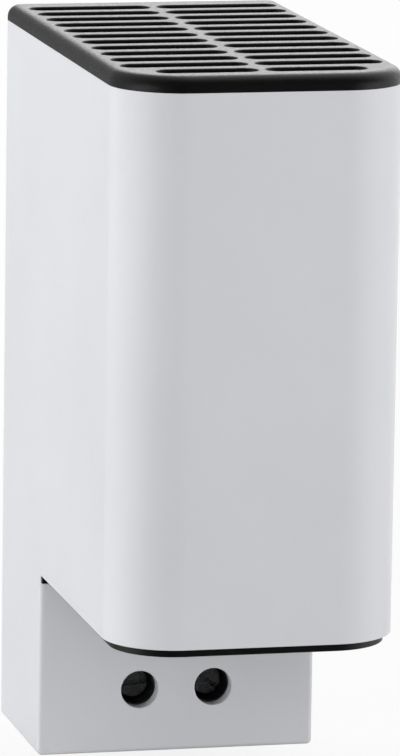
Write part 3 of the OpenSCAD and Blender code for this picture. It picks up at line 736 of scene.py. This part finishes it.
fit(floor_grille, grille_black, "casing", "bottom_grille")


# Top grille: the slotted lid, moulded in black plastic with a rounded rim. Its skirt snaps into the
# shell, a rib stiffens the middle web, and four feet hold the heat sink down.
def turned_over(piece, y):
    """Turn a piece half round about an upright axis at x = 0 and the given y."""
    piece.location = (0, 2 * y, 0)
    piece.rotation_euler = (0, 0, math.pi)
    settle(piece)
    return piece


def hold_down(name, side, y):
    """Leg from the skirt to a foot over the ends of the heat sink's fins."""
    foot_z = lid_low.z
    knee_z = foot_z + foot_h
    skirt_in = plug_x - skirt_t
    foot_x = sink_high.x - ledge
    leg = block(name, (foot_x, y - rib_t / 2, foot_z), (plug_x, y + rib_t / 2, rim_z - 2 * join))
    edit(leg)
    bpy.ops.mesh.bisect(plane_co=(foot_x, y, knee_z), plane_no=(-1, 0, 1),
                        use_fill=True, clear_outer=True)
    close()
    stem = block("stem", (skirt_in, y - rib_t / 2, knee_z), (plug_x, y + rib_t / 2, rim_z - 2 * join))
    combine(leg, "UNION", stem)
    if side < 0:
        leg = turned_over(leg, y)
    return leg


lid_low, lid_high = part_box("top_grille")
cap_round = 0.0016
slot_edge = 0.0003
skirt_h = 0.0044
web_rib_h = 0.003
foot_h = 0.002
top_rows = 12
lid = upright("top_grille_moulding", (-half_w, front_y, rim_z), (half_w, back_y, lid_high.z),
              front_r, back_r)
round_edges(lid, cap_round, 8, lambda middle, way, bend: middle.z > lid_high.z - hair)
lid_skirt_end = back_y - wall - fit_gap
lid_skirt = upright("skirt", (-plug_x, plug_y, rim_z - skirt_h), (plug_x, lid_skirt_end, rim_z + join),
                    plug_r, cavity_r)
lid_skirt_room = upright("skirt_room", (skirt_t - plug_x, plug_y + skirt_t, rim_z - skirt_h - over),
                         (plug_x - skirt_t, lid_skirt_end - skirt_t, rim_z + over),
                         plug_r - skirt_t, cavity_r)
combine(lid_skirt, "DIFFERENCE", lid_skirt_room)
web_rib = block("web_rib", (-slot_web / 2, plug_y + skirt_t / 2, rim_z - web_rib_h),
                (slot_web / 2, lid_skirt_end - skirt_t / 2, rim_z + join))
combine(lid, "UNION", lid_skirt, web_rib)
for row in (-rib_row, rib_row):
    for side in (-1, 1):
        combine(lid, "UNION", hold_down("leg", side, sink_middle.y + row))
cut_slots(lid, top_rows, rim_z - join, lid_high.z + over)
round_edges(lid, slot_edge, 3, lambda middle, way, bend:
            bend > sharp_bend and middle.z > lid_high.z - hair)
shade(lid)
fit(lid, grille_black, "casing", "top_grille")


# Rail latch: a sliding foot moulded in black acetal. Its flanges run in the channel on the base's
# back, its nose closes under the rail's lower edge, and a screwdriver in the eye pulls it down.
stem_x = mouth_x - latch_gap
latch_t = 0.0015
nose_z = -rail_edge - hook_t
flange_y = latch_low.y + latch_t
latch = block("rail_latch_moulding", (-stem_x, latch_low.y, latch_low.z),
              (stem_x, back_y, -rail_edge))
edit(latch)
bpy.ops.mesh.bisect(plane_co=(0, flange_y, 0), plane_no=(0, 1, 0))
bpy.ops.mesh.select_all(action="SELECT")
bpy.ops.mesh.bisect(plane_co=(0, 0, nose_z), plane_no=(0, 0, 1))
close()
for side in (-1, 1):
    pull_faces(latch, (side * (latch_high.x - stem_x), 0, 0), lambda middle, normal:
               side * normal.x > aligned and middle.y < flange_y)
grow_lip(latch, back_y, -1)
eye_h = cover_low.z - latch_low.z
eye_w = 0.005
eye_slot = 0.0016
eye_round = 0.00048
eye_z = latch_low.z + (eye_h - eye_slot) / 2
eye = block("eye", (-eye_w / 2, latch_low.y - over, eye_z),
            (eye_w / 2, back_y + over, eye_z + eye_slot))
round_edges(eye, eye_round, 4, lambda middle, way, bend: abs(way.y) > aligned)
window_x = spring_d / 2 + 2 * latch_gap
window_low = peg_z - peg_h - latch_gap
window_high = spring_high.z + spring_play
window = block("window", (-window_x, latch_low.y - over, window_low),
               (window_x, back_y + over, window_high))
combine(latch, "DIFFERENCE", eye, window)
latch_round = 0.00015
round_edges(latch, latch_round, 2, lambda middle, way, bend: bend > sharp_bend)
shade(latch)
acetal = finish("black_acetal", ((0.014, 0.014, 0.015), (0.022, 0.022, 0.023)), (0.30, 0.44),
                grain=0.0006, patch=0.006, relief=0.00001)
fit(latch, acetal, "latch", "rail_latch")


# Latch spring: a coil of hard-drawn steel wire in the latch's window. It stands on the housing's
# peg and pushes the latch up, and shortens as the latch is pulled down.
wire_r = 0.0002
coil_turns = 8
coil_r = spring_d / 2 - wire_r
coil_y = channel_y / 2 + back_y / 2
coil_h = spring_high.z - spring_low.z - 2 * wire_r
clear_selection()
bpy.ops.mesh.primitive_circle_add(vertices=12, radius=wire_r, rotation=(math.pi / 2, 0, 0),
                                  location=(0, coil_y, spring_low.z + wire_r))
coil = bpy.context.object
coil.name = "latch_spring_coil"
bpy.ops.object.transform_apply(location=False, rotation=True, scale=False)
edit(coil)
bpy.ops.transform.translate(value=(coil_r, 0, 0))
close()
wind = coil.modifiers.new("wind", "SCREW")
wind.axis = "Z"
wind.screw_offset = coil_h / coil_turns
wind.iterations = coil_turns
wind.steps = wind.render_steps = 32
apply_modifier(coil, wind)
edit(coil)
bpy.ops.mesh.fill_holes(sides=0)
bpy.ops.mesh.select_all(action="SELECT")
bpy.ops.mesh.normals_make_consistent(inside=False)
close()
settle(coil)
shade(coil, 50)
spring_steel = finish("spring_steel", ((0.38, 0.38, 0.40), (0.55, 0.55, 0.57)), (0.22, 0.38),
                      grain=0.0002, patch=0.002, relief=0.000006, Metallic=1.0)
fit(coil, spring_steel, "casing", "latch_spring")
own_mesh(coil)


# Studio: a white floor that keeps a soft shadow runs back to a white backdrop, and the room in front
# is dark, so that the black plastic stays black. Soft lights stand at the sides, in front and behind.
def math_node(tree, operation, first, second):
    """Result of a sum on two values, each a number or a socket."""
    made = add_node(tree, "ShaderNodeMath", operation=operation)
    for socket, value in zip(made.inputs, (first, second)):
        if isinstance(value, bpy.types.NodeSocket):
            tree.links.new(value, socket)
        else:
            socket.default_value = value
    return made.outputs[0]


def brightness(tree, value, dark_at, bright_at, least):
    """Brightness that grows from its least to 1 as a value goes from one place to another."""
    made = add_node(tree, "ShaderNodeMapRange", {
        "Value": value, "From Min": dark_at, "From Max": bright_at, "To Min": least, "To Max": 1.0})
    return made.outputs["Result"]


def panel(tree, way, middle, edge, core):
    """White panel seen from the heater: how near a way is to its middle, as the cosine of the angle."""
    facing = add_node(tree, "ShaderNodeVectorMath", operation="DOT_PRODUCT")
    tree.links.new(way, facing.inputs[0])
    facing.inputs[1].default_value = Vector(middle).normalized()
    return brightness(tree, facing.outputs["Value"], edge, core, 0)


def backdrop(tree, coordinates):
    """How white the studio looks: all of it to the camera, far side and panels to a reflection."""
    path = add_node(tree, "ShaderNodeLightPath").outputs
    mirrored = math_node(tree, "MAXIMUM", path["Is Glossy Ray"], path["Is Transmission Ray"])
    place = add_node(tree, "ShaderNodeTexCoord").outputs[coordinates]
    way = add_node(tree, "ShaderNodeVectorMath", {"Vector": place}, operation="NORMALIZE").outputs["Vector"]
    ways = add_node(tree, "ShaderNodeSeparateXYZ", {"Vector": way}).outputs
    far = brightness(tree, ways["Y"], *fade_to_far, dark_room)
    right = brightness(tree, ways["X"], *fade_to_right, dim_left)
    bright = math_node(tree, "MULTIPLY", far, right)
    for middle, edge, core in side_panels:
        bright = math_node(tree, "MAXIMUM", bright, panel(tree, way, middle, edge, core))
    return math_node(tree, "MAXIMUM", path["Is Camera Ray"], math_node(tree, "MULTIPLY", mirrored, bright))


ambient = 0.45
dark_room = 0.03
dim_left = 0.35
fade_to_far = (-0.4, 0.3)
fade_to_right = (-0.08, 0.2)
side_panels = (((-0.95, -0.3, -0.1), 0.88, 0.94), ((0.87, -0.5, -0.1), 0.88, 0.94))
world = bpy.data.worlds.new("studio")
world.use_nodes = True
world.cycles.sampling_method = "NONE"
bpy.context.scene.world = world
sky = world.node_tree
surround = sky.nodes["Background"]
surround.inputs["Color"].default_value = (1, 1, 1, 1)
diffuse = add_node(sky, "ShaderNodeLightPath").outputs["Is Diffuse Ray"]
fill = math_node(sky, "MULTIPLY", diffuse, ambient)
sky.links.new(math_node(sky, "MAXIMUM", fill, backdrop(sky, "Generated")), surround.inputs["Strength"])

floor_size = 12
floor_gap = 0.0005
shadow_share = 0.15
clear_selection()
bpy.ops.mesh.primitive_plane_add(size=floor_size, location=(0, 0, cad_box[0][2] - floor_gap))
floor = bpy.context.object
floor.name = "floor"
settle(floor)
paper = bpy.data.materials.new("white_floor")
paper.use_nodes = True
sheet = paper.node_tree
matt = sheet.nodes["Principled BSDF"]
matt.inputs["Base Color"].default_value = (0.9, 0.9, 0.9, 1)
matt.inputs["Roughness"].default_value = 0.9
rays = add_node(sheet, "ShaderNodeLightPath").outputs
shaded = math_node(sheet, "MULTIPLY", rays["Is Camera Ray"], shadow_share)
lit = math_node(sheet, "MAXIMUM", rays["Is Diffuse Ray"], shaded)
glow = add_node(sheet, "ShaderNodeEmission", {
    "Color": (1, 1, 1, 1), "Strength": backdrop(sheet, "Object")})
mix = add_node(sheet, "ShaderNodeMixShader", {"Fac": lit})
sheet.links.new(glow.outputs["Emission"], mix.inputs[1])
sheet.links.new(matt.outputs["BSDF"], mix.inputs[2])
sheet.links.new(mix.outputs["Shader"], sheet.nodes["Material Output"].inputs["Surface"])
floor.data.materials.append(paper)


def lamp(name, place, size, level):
    """Soft light aimed at the heater; a face square to it sends back that share of its colour."""
    aim = Vector((0, front_y / 2, rim_z / 6))
    way = aim - Vector(place)
    clear_selection()
    bpy.ops.object.light_add(type="AREA", location=place,
                             rotation=way.to_track_quat("-Z", "Y").to_euler())
    light = bpy.context.object
    light.name = name
    light.data.shape = "RECTANGLE"
    light.data.size, light.data.size_y = size
    light.data.energy = level * math.pi ** 2 * way.length_squared
    light.visible_camera = False
    light.visible_glossy = False
    return light


lamp("left_light", (-1.05, 0.35, 0.2), (0.8, 0.9), 0.2)
lamp("back_left_light", (-0.85, 0.75, 0.2), (0.8, 0.9), 0.78)
lamp("front_left_light", (-1.04, -0.45, 0.15), (0.3, 0.9), 0.27)
lamp("right_light", (1.1, -0.33, 0.15), (0.3, 0.9), 0.68)
lamp("front_light", (-0.7, -1.4, 0.35), (0.7, 0.7), 0.2)
lamp("rear_light", (0.45, 1.25, 0.6), (0.9, 1.0), 0.19).visible_glossy = True

clear_selection()
bpy.ops.object.camera_add(location=(-0.196278, -0.849222, 0.16735),
                          rotation=[math.radians(turn) for turn in (79.27397, -0.85723, -13.43063)])
camera = bpy.context.object
camera.data.lens = 306.884
camera.data.sensor_width = 36
bpy.context.scene.camera = camera
bpy.context.scene.view_settings.view_transform = "Standard"
